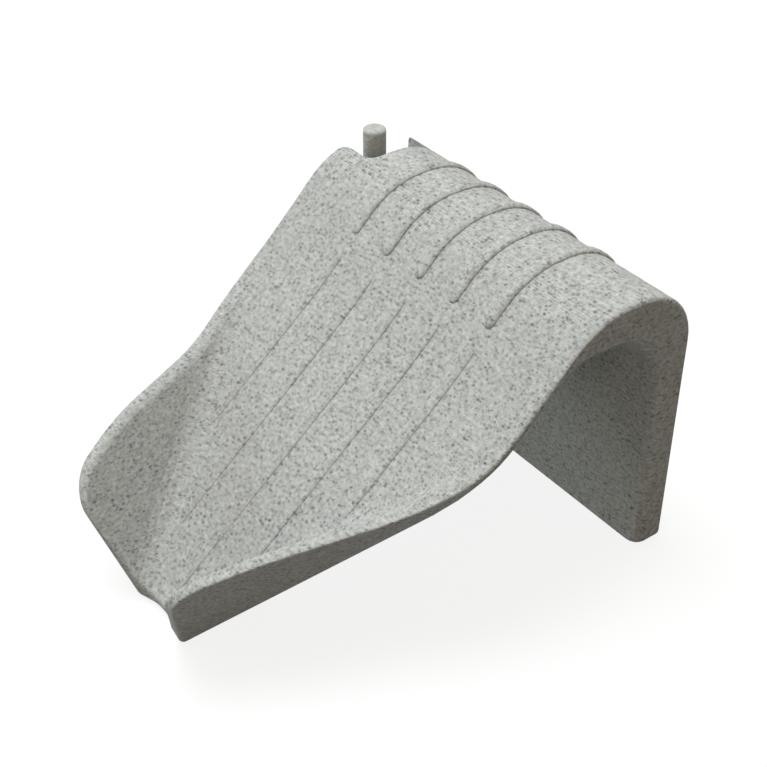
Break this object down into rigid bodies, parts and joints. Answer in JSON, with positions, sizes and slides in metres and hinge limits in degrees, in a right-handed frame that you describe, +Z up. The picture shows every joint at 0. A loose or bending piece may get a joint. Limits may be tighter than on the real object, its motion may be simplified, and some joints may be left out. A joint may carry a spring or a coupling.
{
  "type": "self-draining soap dish",
  "caption": "Free-standing soap dish: rear leg, rounded crown, ribbed ramp and a scoop with leaning walls that drains over its spout lip; a peg stands in a corner notch.",
  "frame": {"origin": "on the table, below the centre of the dish's bounding box", "axes": "+X across the dish, away from the corner with the peg; +Y to the rear leg; +Z up"},
  "size_m": [0.09, 0.1107, 0.0731],
  "materials": {
    "speckled_grey": "matt light grey with fine dark speckles and faint layer lines",
    "warm_grey": "matt grey, slightly warmer and plainer than the body"
  },
  "bodies": {
    "root": {"dish_body": "speckled_grey", "corner_peg": "warm_grey"}
  },
  "joints": []
}
